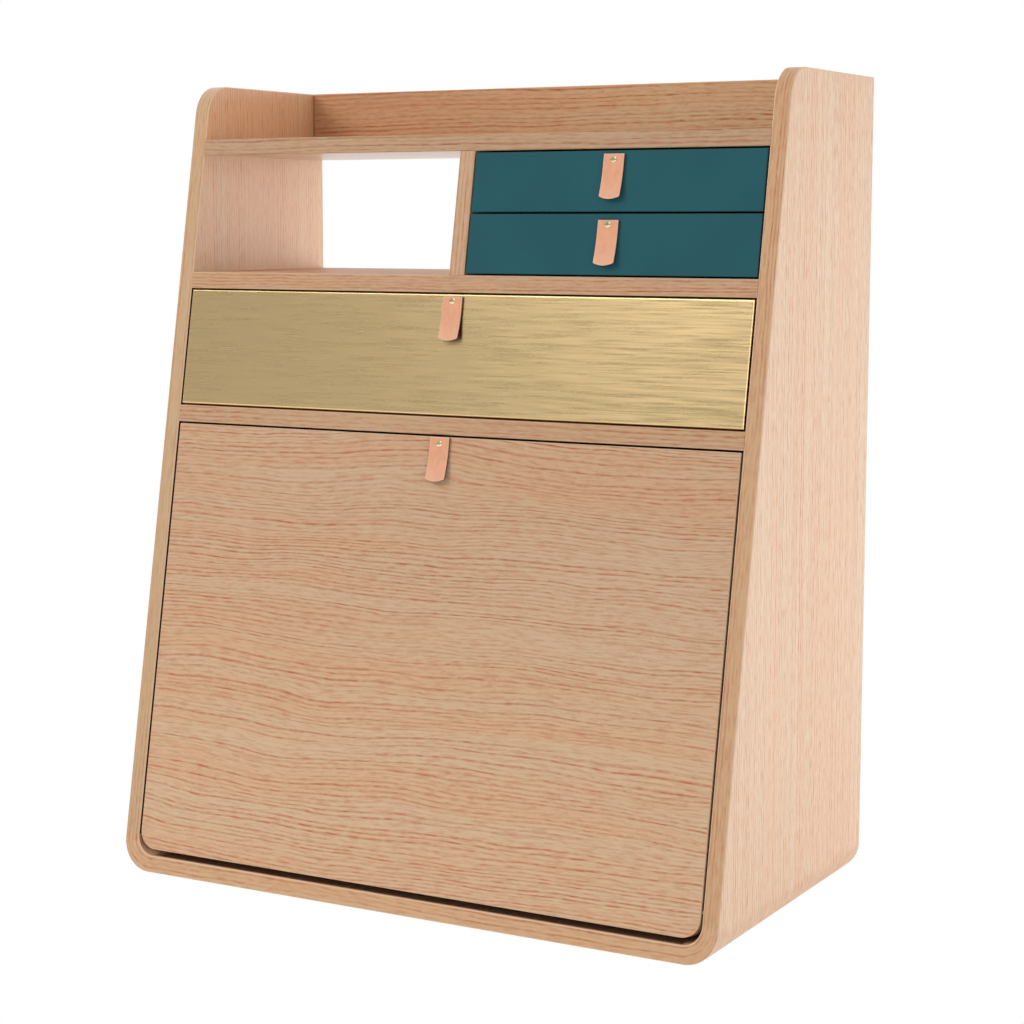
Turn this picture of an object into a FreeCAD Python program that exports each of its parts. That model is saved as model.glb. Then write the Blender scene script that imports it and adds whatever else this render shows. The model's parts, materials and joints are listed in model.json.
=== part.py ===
# Fold-down wall desk: an oak carcass with bent lower corners and a front that leans back, an open
# niche, two small drawers, one wide drawer with a brass face, and a flap that falls on pivot pins and
# is held level by two slotted stays. All lengths are in millimetres.
import FreeCAD
import Part
import math
import os
from collections import namedtuple

# Carcass: heights count from the underside of the bottom panel, depths from the wall
WIDTH = 600.0
HEIGHT = 720.0
BASE_DEPTH = 320.0
TOP_DEPTH = 184.5
BOARD = 15.0
BACK_BOARD = 12.0
BEND_RADIUS = 29.0
BEND_INSIDE_SHARE = 0.6
SHOULDER_RADIUS = 31.0
EDGE_EASE = 0.8
RAIL_HEIGHT = 49.8
SMALL_BAY_HEIGHT = 107.6
WIDE_BAY_HEIGHT = 107.6

# Clearances: pieces glued or pressed together, turning fits, sliding fits
FIT = 0.1
TURNING_FIT = 0.05
SLIDING_FIT = 0.3

# Joinery of the carcass
TONGUE_THICKNESS = 4.0
TONGUE_WIDTH = 16.0
TONGUE_INSET = 25.0
TENON_THICKNESS = 5.0
TENON_WIDTH = 30.0
TENON_REACH = 16.0
TENON_PLACE_SHARES = (0.2, 0.8)
BITE_SHARE = 0.6
RAIL_END_GAP = 1.2

# Wall screws, through the back panel
WALL_HOLE_RADIUS = 3.5
WALL_SCREW_FOOT = 85.0
WALL_SCREW_DROP = 58.0
WALL_SCREW_INSET = 45.0

# Drawers: each is hung on two hardwood runners that lie in grooves of its sides
REVEAL = 1.6
DRAWER_WALL = 12.0
DRAWER_FLOOR = 5.0
FLOOR_RISE = 6.0
FLOOR_GROOVE = 5.0
BOX_FOOT = 4.0
BOX_CROWN = 9.0
BOX_BACK_GAP = 10.0
RUNNER_HEIGHT = 10.0
RUNNER_BITE = 6.0
RUNNER_GAP = 2.0
RUNNER_SETBACK = 14.0
RUNNER_PLACE_SHARE = 0.6

# Brass face of the wide drawer, a folded pan over a board
BRASS_SKIN = 1.0
PAN_DEPTH = 12.0
PAN_BEND = 1.5

# Flap and its pivot pins
FLAP_SIDE_GAP = 2.0
FLAP_FOOT_GAP = 6.0
FLAP_CORNER_RADIUS = 17.0
PIVOT_RISE = 22.0
PIN_RADIUS = 3.0
PIN_REACH = 18.0
BUSH_RADIUS = 4.5

# Relief groove in the bottom panel, under the flap's foot
GROOVE_LIP = 3.0
GROOVE_WIDTH = 34.0
GROOVE_DEPTH = 4.0

# Slotted stays: the stud and the eye are equally far from the pivot pins
STAY_ARM = 130.0
STAY_FOLD_DEGREES = 12.0
STAY_LIFT = 12.0
STAY_WIDTH = 14.0
STAY_THICKNESS = 3.0
STAY_WALL_GAP = 3.6
STAY_TAIL = 2.0
STUD_RADIUS = 3.0
STUD_COLLAR_RADIUS = 5.5
STUD_HEAD_RADIUS = 6.0
STUD_HEAD = 2.0
STUD_SCREW_RADIUS = 2.2
RIVET_RADIUS = 2.5
RIVET_HEAD_RADIUS = 4.5
RIVET_HEAD = 1.4
BRACKET_PLATE = 2.5
BRACKET_LENGTH = 46.0
BRACKET_WIDTH = 20.0
BRACKET_NECK = 28.0

# Magnetic catches under the lower shelf, with strike plates let into the flap
CATCH_INSET = 105.0
CATCH_LENGTH = 40.0
CATCH_HEIGHT = 13.0
CATCH_DEPTH = 15.0
CATCH_GAP = 0.4
STRIKE_LENGTH = 34.0
STRIKE_HEIGHT = 9.0
STRIKE_THICKNESS = 1.5

# Leather pulls and their slotted brass screws
PULL_WIDTH = 19.5
PULL_LENGTH = 39.5
PULL_THICKNESS = 2.6
PULL_FLAT = 10.0
PULL_STANDOFF = 3.6
PULL_END_RISE = 2.6
SMALL_PULL_SHIFT = 1.4
UPPER_PULL_INSET = 3.1
LOWER_PULL_INSET = 5.6
WIDE_PULL_INSET = 2.0
FLAP_PULL_INSET = 0.3
UPPER_SCREW_DROP = 5.1
LOWER_SCREW_DROP = 3.9
WIDE_SCREW_DROP = 4.0
FLAP_SCREW_DROP = 6.1
SCREW_HEAD_RADIUS = 3.5
SCREW_HEAD = 1.7
SCREW_DOME_SHARES = ((1.0, 0.0), (0.84, 0.55), (0.42, 1.0))
SCREW_SLOT_WIDTH = 0.9
SCREW_SLOT_DEPTH = 0.7
SCREW_RADIUS = 1.7
SCREW_REACH = 11.0

# How far a cut runs past what it cuts, and how near a point counts as lying on a plane
OVERRUN = 5.0
TOUCH = 0.001

# Values that follow from the sizes above
LEAN = math.atan2(BASE_DEPTH - TOP_DEPTH, HEIGHT)
INNER = WIDTH / 2 - BOARD
BOARD_ALONG_Y = BOARD / math.cos(LEAN)
BEND_INSIDE = BEND_RADIUS * BEND_INSIDE_SHARE
BEND_SPAN = BOARD + BEND_INSIDE
TOP_SHELF_HEIGHT = HEIGHT - RAIL_HEIGHT - BOARD
SMALL_BAY_FLOOR = TOP_SHELF_HEIGHT - SMALL_BAY_HEIGHT
MIDDLE_SHELF_HEIGHT = SMALL_BAY_FLOOR - BOARD
LOWER_SHELF_HEIGHT = MIDDLE_SHELF_HEIGHT - WIDE_BAY_HEIGHT - BOARD
SMALL_FRONT_HEIGHT = (SMALL_BAY_HEIGHT - 3 * REVEAL) / 2
BOX_BACK = -BACK_BOARD - BOX_BACK_GAP
DIVIDER_LEFT = -BOARD / 2
DIVIDER_RIGHT = BOARD / 2
BITE = BOARD * BITE_SHARE
WALL_SCREW_RISE = MIDDLE_SHELF_HEIGHT - WALL_SCREW_DROP - WALL_SCREW_FOOT
WALL_SCREW_SPREAD = 2 * (INNER - WALL_SCREW_INSET)
WALL_SCREW_CENTRE = WALL_SCREW_FOOT + WALL_SCREW_RISE / 2
CATCH_X = INNER - CATCH_INSET
FLAP_FOOT = BOARD + FLAP_FOOT_GAP
FLAP_HEAD = LOWER_SHELF_HEIGHT - REVEAL
FLAP_LENGTH = (FLAP_HEAD - FLAP_FOOT) / math.cos(LEAN)
FLAP_HALF = INNER - FLAP_SIDE_GAP
FLAP_OPENING = math.pi / 2 + LEAN
STAY_FACE = INNER - STAY_WALL_GAP
EYE_DEPTH = BOARD / 2 + STAY_LIFT
EYE_RISE = PIVOT_RISE + math.sqrt(STAY_ARM ** 2 - EYE_DEPTH ** 2)
STAY_FOLD = math.radians(STAY_FOLD_DEGREES)
SLOT_NEAR = 2 * STAY_ARM * math.sin(STAY_FOLD / 2)
SLOT_FAR = 2 * STAY_ARM * math.sin((STAY_FOLD + FLAP_OPENING) / 2)

X_AXIS = FreeCAD.Vector(1, 0, 0)
Y_AXIS = FreeCAD.Vector(0, 1, 0)

# A leather pull: its middle, its distance below the front's upper edge, and its screw's below that
Tab = namedtuple("Tab", "x inset screw_drop")
FLAP_TAB = Tab(0, FLAP_PULL_INSET, FLAP_SCREW_DROP)

# A drawer's bay: its clear sides, the heights of its front, its pull, and whether it is brass
Bay = namedtuple("Bay", "left right foot head tab brass")


def vec(x, y, z):
    return FreeCAD.Vector(x, y, z)


def front_y(height):
    """Depth coordinate of the leaning front plane at a height."""
    return -BASE_DEPTH + height * math.tan(LEAN)


def box(x_low, x_high, y_low, y_high, z_low, z_high):
    return Part.makeBox(x_high - x_low, y_high - y_low, z_high - z_low, vec(x_low, y_low, z_low))


def across(points, x_low, x_high):
    """Solid with a polygon of (y, z) points as its section, from x_low to x_high."""
    corners = [vec(x_low, y, z) for y, z in points]
    face = Part.Face(Part.makePolygon(corners + corners[:1]))
    return face.extrude(vec(x_high - x_low, 0, 0))


def rod(start, direction, radius, length):
    return Part.makeCylinder(radius, length, start, direction)


def lies_on(edge, gap):
    """True where every sampled point of an edge has no gap to a surface."""
    return all(abs(gap(point)) < TOUCH for point in edge.discretize(5))


def edges_on(shape, *gaps):
    """Edges that lie on any of the surfaces whose gap functions are given."""
    return [edge for edge in shape.Edges if any(lies_on(edge, gap) for gap in gaps)]


def front_gap(point):
    return point.y - front_y(point.z)


def on_front(shape, height):
    """Lean a shape built upright about the X axis and set it on the front plane at a height."""
    placed = shape.copy()
    placed.rotate(vec(0, 0, 0), X_AXIS, -math.degrees(LEAN))
    placed.translate(vec(0, front_y(height), height))
    return placed


def front_point(rise, depth, height):
    """The (y, z) place of a point given along and behind the front plane from a height."""
    y = front_y(height) + rise * math.sin(LEAN) + depth * math.cos(LEAN)
    z = height + rise * math.cos(LEAN) - depth * math.sin(LEAN)
    return y, z


def in_front():
    """Everything that the leaning front plane cuts away."""
    low = -OVERRUN
    high = HEIGHT + OVERRUN
    far = -BASE_DEPTH - OVERRUN - BOARD
    section = [(far, low), (front_y(low), low), (front_y(high), high), (far, high)]
    return across(section, -WIDTH, WIDTH)


def mirrored(shape):
    return shape.mirror(vec(0, 0, 0), X_AXIS)


def pair(shape):
    return Part.makeCompound([mirrored(shape), shape])


# Carcass pieces

def tenons(spare):
    """Loose tenons of the shelves, the rail and the divider, longer by spare at both ends."""
    wide = TENON_WIDTH / 2
    flat = TENON_THICKNESS / 2
    found = []
    for side in (-1, 1):
        ends = sorted((side * (INNER + BITE + spare), side * (INNER - TENON_REACH - spare)))
        for height in (LOWER_SHELF_HEIGHT, MIDDLE_SHELF_HEIGHT, TOP_SHELF_HEIGHT):
            middle = height + BOARD / 2
            for share in TENON_PLACE_SHARES:
                place = share * front_y(middle)
                found.append(box(*ends, place - wide, place + wide, middle - flat, middle + flat))
        rail_y = -BOARD / 2
        rail_z = (TOP_SHELF_HEIGHT + BOARD + HEIGHT) / 2
        found.append(box(*ends, rail_y - flat, rail_y + flat, rail_z - wide, rail_z + wide))
    foot = (SMALL_BAY_FLOOR - BITE - spare, SMALL_BAY_FLOOR + TENON_REACH + spare)
    head = (TOP_SHELF_HEIGHT - TENON_REACH - spare, TOP_SHELF_HEIGHT + BITE + spare)
    for share in TENON_PLACE_SHARES:
        place = share * front_y(TOP_SHELF_HEIGHT)
        for ends in (foot, head):
            found.append(box(-flat, flat, place - wide, place + wide, *ends))
    return found


def slotted(shape):
    """Cut the tenons' slots into a board."""
    return shape.cut(tenons(FIT))


def tongues(spare):
    """Loose tongues across the joints of the right bend, longer and wider by spare."""
    half = TONGUE_WIDTH / 2 + spare
    flat = TONGUE_THICKNESS / 2
    back = -TONGUE_INSET + spare
    front = front_y(0) + TONGUE_INSET - spare
    upright_x = WIDTH / 2 - BOARD / 2
    flat_x = WIDTH / 2 - BEND_SPAN
    upright = box(upright_x - flat, upright_x + flat, front, back, BEND_SPAN - half, BEND_SPAN + half)
    level = box(flat_x - half, flat_x + half, front, back, BOARD / 2 - flat, BOARD / 2 + flat)
    return [upright, level]


def corner_tongues():
    right = tongues(0)
    return Part.makeCompound(right + [mirrored(tongue) for tongue in right])


def pivot_place():
    """The (y, z) place of the flap's pivot axis."""
    return front_point(PIVOT_RISE, BOARD / 2, FLAP_FOOT)


def stud_place():
    """The (y, z) place of the stay's stud, behind the closed flap."""
    pivot_y, pivot_z = pivot_place()
    eye_y, eye_z = eye_place()
    angle = math.atan2(eye_z - pivot_z, eye_y - pivot_y) - STAY_FOLD
    return pivot_y + STAY_ARM * math.cos(angle), pivot_z + STAY_ARM * math.sin(angle)


def eye_place():
    """The (y, z) place of the stay's eye with the flap closed."""
    return front_point(EYE_RISE, BOARD + STAY_LIFT, FLAP_FOOT)


def right_side():
    """Side panel above the bend, with its top front corner rounded into the shoulder."""
    turn = math.pi / 2 + LEAN
    tangent = SHOULDER_RADIUS / math.tan(turn / 2)
    top_front = vec(INNER, front_y(HEIGHT), HEIGHT)
    down = vec(0, -math.sin(LEAN), -math.cos(LEAN))
    to_middle = (Y_AXIS + down).normalize()
    arc_start = top_front + Y_AXIS * tangent
    arc_end = top_front + down * tangent
    arc_middle = top_front + to_middle * (SHOULDER_RADIUS / math.sin(turn / 2) - SHOULDER_RADIUS)
    back_foot = vec(INNER, 0, BEND_SPAN)
    back_top = vec(INNER, 0, HEIGHT)
    front_foot = vec(INNER, front_y(BEND_SPAN), BEND_SPAN)
    edges = [
        Part.makeLine(back_foot, back_top),
        Part.makeLine(back_top, arc_start),
        Part.Arc(arc_start, arc_middle, arc_end).toShape(),
        Part.makeLine(arc_end, front_foot),
        Part.makeLine(front_foot, back_foot),
    ]
    panel = Part.Face(Part.Wire(edges)).extrude(X_AXIS * BOARD)
    rim = []
    for edge in panel.Edges:
        middle = edge.CenterOfMass
        across_board = abs(middle.x - INNER - BOARD / 2) < TOUCH
        at_foot = abs(middle.z - BEND_SPAN) < TOUCH
        at_back = abs(middle.y) < TOUCH
        if not (across_board or at_foot or at_back):
            rim.append(edge)
    panel = panel.makeChamfer(EDGE_EASE, rim)
    panel = panel.cut(tongues(FIT))
    stud_y, stud_z = stud_place()
    pivot_y, pivot_z = pivot_place()
    stud_hole = rod(vec(INNER, stud_y, stud_z), X_AXIS, STUD_SCREW_RADIUS, BITE)
    pin_hole = rod(vec(INNER, pivot_y, pivot_z), X_AXIS, PIN_RADIUS, BITE)
    return panel.cut([stud_hole, pin_hole])


def left_side():
    return mirrored(right_side())


def right_corner():
    """Bend of laminated veneers between the side and the bottom panel."""
    inner_x = WIDTH / 2 - BEND_SPAN
    block = box(inner_x, WIDTH / 2, -BASE_DEPTH, 0, 0, BEND_SPAN)
    outer_edge = []
    for edge in block.Edges:
        middle = edge.CenterOfMass
        if abs(middle.x - WIDTH / 2) < TOUCH and abs(middle.z) < TOUCH:
            outer_edge.append(edge)
    hollow = rod(vec(inner_x, 0, BEND_SPAN), Y_AXIS * -1, BEND_INSIDE, BASE_DEPTH)
    bend = block.makeFillet(BEND_RADIUS, outer_edge).cut([hollow, in_front()])
    rim = []
    for edge in bend.Edges:
        middle = edge.CenterOfMass
        at_joint = abs(middle.x - inner_x) < TOUCH or abs(middle.z - BEND_SPAN) < TOUCH
        if lies_on(edge, front_gap) and not at_joint:
            rim.append(edge)
    return bend.makeChamfer(EDGE_EASE, rim).cut(tongues(FIT))


def left_corner():
    return mirrored(right_corner())


def bottom_panel():
    """Bottom between the bends, with a groove that clears the flap's swinging foot."""
    half = WIDTH / 2 - BEND_SPAN
    section = [(0, 0), (0, BOARD), (front_y(BOARD), BOARD), (front_y(0), 0)]
    panel = across(section, -half, half)
    panel = panel.makeChamfer(EDGE_EASE, front_edges_across(panel))
    near = front_y(BOARD) + GROOVE_LIP
    groove = box(-half, half, near, near + GROOVE_WIDTH, BOARD - GROOVE_DEPTH, BOARD)
    right = tongues(FIT)
    return panel.cut([groove] + right + [mirrored(tongue) for tongue in right])


def front_edges_across(shape):
    """Edges of the front face that run from side to side."""
    found = []
    for edge in shape.Edges:
        runs_across = abs(edge.tangentAt(edge.FirstParameter).x) > 1 - TOUCH
        if runs_across and lies_on(edge, front_gap):
            found.append(edge)
    return found


def shelf(height, back):
    top = height + BOARD
    section = [(back, height), (back, top), (front_y(top), top), (front_y(height), height)]
    board = across(section, -INNER, INNER)
    board = board.makeChamfer(EDGE_EASE, front_edges_across(board))
    return slotted(board)


def top_rail():
    half = INNER - RAIL_END_GAP
    rail = box(-half, half, -BOARD, 0, TOP_SHELF_HEIGHT + BOARD, HEIGHT)
    crest = []
    for edge in rail.Edges:
        middle = edge.CenterOfMass
        if abs(middle.z - HEIGHT) < TOUCH and abs(middle.x) < TOUCH and middle.y < -TOUCH:
            crest.append(edge)
    return slotted(rail.makeChamfer(EDGE_EASE, crest))


def divider():
    low = SMALL_BAY_FLOOR
    high = TOP_SHELF_HEIGHT
    section = [(0, low), (0, high), (front_y(high), high), (front_y(low), low)]
    board = across(section, DIVIDER_LEFT, DIVIDER_RIGHT)
    rim = []
    for edge in board.Edges:
        upright = abs(edge.tangentAt(edge.FirstParameter).x) < TOUCH
        if upright and lies_on(edge, front_gap):
            rim.append(edge)
    return slotted(board.makeChamfer(EDGE_EASE, rim))


def wall_screw_places():
    places = []
    for height in (WALL_SCREW_FOOT, WALL_SCREW_FOOT + WALL_SCREW_RISE):
        for side in (-1, 1):
            places.append(vec(side * WALL_SCREW_SPREAD / 2, -BACK_BOARD, height))
    return places


def back_panel():
    """Panel behind the desk bay and the wide drawer, with the wall-screw holes."""
    panel = box(-INNER, INNER, -BACK_BOARD, 0, BOARD, MIDDLE_SHELF_HEIGHT)
    foot_corners = []
    for edge in panel.Edges:
        middle = edge.CenterOfMass
        if abs(middle.z - BOARD) < TOUCH and abs(abs(middle.x) - INNER) < TOUCH:
            foot_corners.append(edge)
    panel = panel.makeFillet(BEND_INSIDE + SLIDING_FIT, foot_corners)
    holes = [rod(place, Y_AXIS, WALL_HOLE_RADIUS, BACK_BOARD) for place in wall_screw_places()]
    return panel.cut(holes)


def small_bay_back():
    """Panel behind the two small drawers; the niche beside them stays open."""
    return box(DIVIDER_RIGHT, INNER, -BACK_BOARD, 0, SMALL_BAY_FLOOR, TOP_SHELF_HEIGHT)


# Flap hardware on the carcass

def pivot_pins():
    pivot_y, pivot_z = pivot_place()
    start = vec(INNER + BITE, pivot_y, pivot_z)
    pin = rod(start, X_AXIS * -1, PIN_RADIUS, BITE + FLAP_SIDE_GAP + PIN_REACH)
    return pair(pin)


def stay_studs():
    """Shouldered studs: screw, collar, shank in the slot, head."""
    stud_y, stud_z = stud_place()
    inward = X_AXIS * -1
    seat = vec(INNER, stud_y, stud_z)
    collar = STAY_WALL_GAP - FIT
    shank = STAY_THICKNESS + 2 * FIT
    pieces = [
        rod(seat + inward * collar, inward, STUD_RADIUS, shank),
        rod(seat + inward * (collar + shank), inward, STUD_HEAD_RADIUS, STUD_HEAD),
        rod(seat + X_AXIS * BITE, inward, STUD_SCREW_RADIUS, BITE),
    ]
    stud = rod(seat, inward, STUD_COLLAR_RADIUS, collar).fuse(pieces)
    return pair(stud.removeSplitter())


def flap_catches():
    """Catch housings whose front faces follow the closed flap."""
    high = LOWER_SHELF_HEIGHT
    low = high - CATCH_HEIGHT
    face = BOARD_ALONG_Y + CATCH_GAP / math.cos(LEAN)
    back = front_y(high) + face + CATCH_DEPTH
    section = [(front_y(low) + face, low), (front_y(high) + face, high), (back, high), (back, low)]
    housing = across(section, CATCH_X - CATCH_LENGTH / 2, CATCH_X + CATCH_LENGTH / 2)
    standing = [edge for edge in housing.Edges if abs(edge.tangentAt(edge.FirstParameter).z) > 1 / 2]
    return pair(housing.makeChamfer(EDGE_EASE, standing))


# Flap pieces, built upright with the front face at y = 0 and the lower edge at z = 0

def screw_hole(x, rise):
    """Blind hole for a pull's screw, square to the front."""
    return rod(vec(x, 0, rise), Y_AXIS, SCREW_RADIUS, SCREW_REACH)


def strike_plate():
    """Strike plate let into the flap's inner face, opposite its catch."""
    middle = FLAP_LENGTH - CATCH_HEIGHT / 2
    return box(CATCH_X - STRIKE_LENGTH / 2, CATCH_X + STRIKE_LENGTH / 2, BOARD - STRIKE_THICKNESS, BOARD,
               middle - STRIKE_HEIGHT / 2, middle + STRIKE_HEIGHT / 2)


def flap_panel():
    panel = box(-FLAP_HALF, FLAP_HALF, 0, BOARD, 0, FLAP_LENGTH)
    foot_corners = []
    for edge in panel.Edges:
        middle = edge.CenterOfMass
        if abs(middle.z) < TOUCH and abs(abs(middle.x) - FLAP_HALF) < TOUCH:
            foot_corners.append(edge)
    panel = panel.makeFillet(FLAP_CORNER_RADIUS, foot_corners)
    rim = edges_on(panel, lambda point: point.y, lambda point: point.y - BOARD)
    panel = panel.makeChamfer(EDGE_EASE, rim)
    bush_hole = rod(vec(FLAP_HALF - PIN_REACH, BOARD / 2, PIVOT_RISE), X_AXIS, BUSH_RADIUS, PIN_REACH)
    cuts = [bush_hole, mirrored(bush_hole), pair(strike_plate())]
    cuts.append(screw_hole(FLAP_TAB.x, FLAP_LENGTH + screw_rise(FLAP_TAB)))
    return on_front(panel.cut(cuts), FLAP_FOOT)


def pivot_bushes():
    """Sleeves in the flap's side edges, round the pivot pins."""
    start = vec(FLAP_HALF - PIN_REACH, BOARD / 2, PIVOT_RISE)
    sleeve = rod(start, X_AXIS, BUSH_RADIUS, PIN_REACH)
    bore = rod(start, X_AXIS, PIN_RADIUS + TURNING_FIT, PIN_REACH)
    return on_front(pair(sleeve.cut(bore)), FLAP_FOOT)


def right_bracket():
    """Angle bracket on the flap: a foot on its inner face and an upright round the stay's rivet."""
    face = STAY_FACE - STAY_THICKNESS - FIT
    inner = BOARD
    foot = box(face - BRACKET_WIDTH, face, inner, inner + BRACKET_PLATE,
               EYE_RISE - BRACKET_LENGTH / 2, EYE_RISE + BRACKET_LENGTH / 2)
    eye_depth = BOARD + STAY_LIFT
    radius = STAY_WIDTH / 2
    neck = BRACKET_NECK / 2
    outline = [
        (inner, EYE_RISE - neck),
        (inner, EYE_RISE + neck),
        (eye_depth, EYE_RISE + radius),
        (eye_depth, EYE_RISE - radius),
    ]
    upright = across(outline, face - BRACKET_PLATE, face)
    ear = rod(vec(face, eye_depth, EYE_RISE), X_AXIS * -1, radius, BRACKET_PLATE)
    rivet_hole = rod(vec(face, eye_depth, EYE_RISE), X_AXIS * -1, RIVET_RADIUS, BRACKET_PLATE)
    bracket = foot.fuse([upright, ear]).removeSplitter().cut(rivet_hole)
    return on_front(bracket, FLAP_FOOT)


def left_bracket():
    return mirrored(right_bracket())


def stay_rivets():
    """Rivets that carry the stays' eyes on the brackets."""
    start = vec(STAY_FACE - STAY_THICKNESS - FIT - BRACKET_PLATE, BOARD + STAY_LIFT, EYE_RISE)
    reach = BRACKET_PLATE + STAY_THICKNESS + 2 * FIT
    head = rod(start + X_AXIS * reach, X_AXIS, RIVET_HEAD_RADIUS, RIVET_HEAD)
    rivet = rod(start, X_AXIS, RIVET_RADIUS, reach).fuse(head)
    return on_front(pair(rivet.removeSplitter()), FLAP_FOOT)


def stadium(near, far, radius):
    """Round-ended bar along +Y, between two end centres, as thick as the stay."""
    x = STAY_FACE - STAY_THICKNESS
    middle = box(x, STAY_FACE, near, far, -radius, radius)
    ends = [rod(vec(x, place, 0), X_AXIS, radius, STAY_THICKNESS) for place in (near, far)]
    return middle.fuse(ends).removeSplitter()


def right_stay():
    """Slotted bar from the eye through the stud, with the flap closed."""
    bar = stadium(0, SLOT_FAR + STAY_TAIL, STAY_WIDTH / 2)
    slot = stadium(SLOT_NEAR, SLOT_FAR, STUD_RADIUS + SLIDING_FIT)
    x = STAY_FACE - STAY_THICKNESS
    eye = rod(vec(x, 0, 0), X_AXIS, RIVET_RADIUS + TURNING_FIT, STAY_THICKNESS)
    bar = bar.cut([slot, eye])
    eye_y, eye_z = eye_place()
    stud_y, stud_z = stud_place()
    bar.rotate(vec(0, 0, 0), X_AXIS, math.degrees(math.atan2(stud_z - eye_z, stud_y - eye_y)))
    bar.translate(vec(0, eye_y, eye_z))
    return bar


def left_stay():
    return mirrored(right_stay())


# Leather pulls, built upright with the front face at y = 0 and the front's upper edge at z = 0

def screw_rise(tab):
    """Height of a pull's screw, counted from the front's upper edge."""
    return -tab.inset - tab.screw_drop


def pull(tab):
    """Leather tab: flat under its screw, then curving away from the front to a rounded end."""
    top = -tab.inset
    flat_end = top - PULL_FLAT
    reach = PULL_LENGTH - PULL_FLAT
    bow = (reach ** 2 + PULL_STANDOFF ** 2) / (2 * PULL_STANDOFF)
    swing = math.asin(reach / bow)
    left = tab.x - PULL_WIDTH / 2

    def bowed(thickness, angle):
        radius = bow - thickness
        return vec(left, -bow + radius * math.cos(angle), flat_end - radius * math.sin(angle))

    edges = [
        Part.makeLine(vec(left, 0, top), vec(left, 0, flat_end)),
        Part.Arc(bowed(0, 0), bowed(0, swing / 2), bowed(0, swing)).toShape(),
        Part.makeLine(bowed(0, swing), bowed(PULL_THICKNESS, swing)),
        Part.Arc(bowed(PULL_THICKNESS, swing), bowed(PULL_THICKNESS, swing / 2),
                 bowed(PULL_THICKNESS, 0)).toShape(),
        Part.makeLine(vec(left, -PULL_THICKNESS, flat_end), vec(left, -PULL_THICKNESS, top)),
        Part.makeLine(vec(left, -PULL_THICKNESS, top), vec(left, 0, top)),
    ]
    strap = Part.Face(Part.Wire(edges)).extrude(X_AXIS * PULL_WIDTH)
    end_radius = ((PULL_WIDTH / 2) ** 2 + PULL_END_RISE ** 2) / (2 * PULL_END_RISE)
    lowest = top - PULL_LENGTH
    end_centre = vec(tab.x, OVERRUN, lowest + end_radius)
    rounding = rod(end_centre, Y_AXIS * -1, end_radius, 2 * OVERRUN + PULL_STANDOFF + PULL_THICKNESS)
    above = box(left, left + PULL_WIDTH, -2 * OVERRUN, OVERRUN, lowest + 2 * PULL_END_RISE, 0)
    strap = strap.common(rounding.fuse(above))
    hole = rod(vec(tab.x, -OVERRUN, screw_rise(tab)), Y_AXIS, SCREW_RADIUS, 2 * OVERRUN)
    return strap.cut(hole)


def pull_screw(tab):
    """Round-headed slotted screw through the tab into the front."""
    rise = screw_rise(tab)
    seat = vec(tab.x, -PULL_THICKNESS, rise)
    outline = [vec(0, 0, 0)]
    for radius_share, height_share in SCREW_DOME_SHARES:
        outline.append(vec(radius_share * SCREW_HEAD_RADIUS, -height_share * SCREW_HEAD, 0))
    outline.append(vec(0, -SCREW_HEAD, 0))
    half_section = Part.Face(Part.makePolygon(outline + outline[:1]))
    head = half_section.revolve(vec(0, 0, 0), Y_AXIS, 360)
    head.translate(seat)
    shank = rod(seat, Y_AXIS, SCREW_RADIUS, PULL_THICKNESS + SCREW_REACH)
    half = SCREW_SLOT_WIDTH / 2
    crown = seat.y - SCREW_HEAD
    slot = box(tab.x - SCREW_HEAD_RADIUS, tab.x + SCREW_HEAD_RADIUS, crown - OVERRUN,
               crown + SCREW_SLOT_DEPTH, rise - half, rise + half)
    return head.fuse(shank).removeSplitter().cut(slot)


# Drawers

def bays():
    small_head = SMALL_BAY_FLOOR + REVEAL + SMALL_FRONT_HEIGHT
    small_x = (DIVIDER_RIGHT + INNER) / 2 - SMALL_PULL_SHIFT
    return {
        "upper_drawer": Bay(DIVIDER_RIGHT, INNER, small_head + REVEAL, TOP_SHELF_HEIGHT - REVEAL,
                            Tab(small_x, UPPER_PULL_INSET, UPPER_SCREW_DROP), False),
        "lower_drawer": Bay(DIVIDER_RIGHT, INNER, SMALL_BAY_FLOOR + REVEAL, small_head,
                            Tab(small_x, LOWER_PULL_INSET, LOWER_SCREW_DROP), False),
        "wide_drawer": Bay(-INNER, INNER, LOWER_SHELF_HEIGHT + BOARD + REVEAL,
                           MIDDLE_SHELF_HEIGHT - REVEAL,
                           Tab(0, WIDE_PULL_INSET, WIDE_SCREW_DROP), True),
    }


def leaning_slab(left, right, foot, head, near, far):
    """Board between two depths behind the front plane, with level upper and lower edges."""
    near_y = near / math.cos(LEAN)
    far_y = far / math.cos(LEAN)
    section = [
        (front_y(foot) + near_y, foot),
        (front_y(head) + near_y, head),
        (front_y(head) + far_y, head),
        (front_y(foot) + far_y, foot),
    ]
    return across(section, left, right)


def pull_hole(bay):
    """The pull's screw hole in a drawer front."""
    return on_front(screw_hole(bay.tab.x, screw_rise(bay.tab)), bay.head)


def painted_front(bay):
    slab = leaning_slab(bay.left + REVEAL, bay.right - REVEAL, bay.foot, bay.head, 0, BOARD)
    return slab.makeChamfer(EDGE_EASE, edges_on(slab, front_gap)).cut(pull_hole(bay))


def brass_core(bay):
    """Board inside the brass pan."""
    edge = REVEAL + BRASS_SKIN
    return leaning_slab(bay.left + edge, bay.right - edge, bay.foot + BRASS_SKIN,
                        bay.head - BRASS_SKIN, BRASS_SKIN, BOARD)


def brass_pan(bay):
    """Brass sheet folded over the four edges of its board."""
    pan = leaning_slab(bay.left + REVEAL, bay.right - REVEAL, bay.foot, bay.head, 0, PAN_DEPTH)
    pan = pan.makeFillet(PAN_BEND, edges_on(pan, front_gap))
    return pan.cut([brass_core(bay), pull_hole(bay)])


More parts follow.
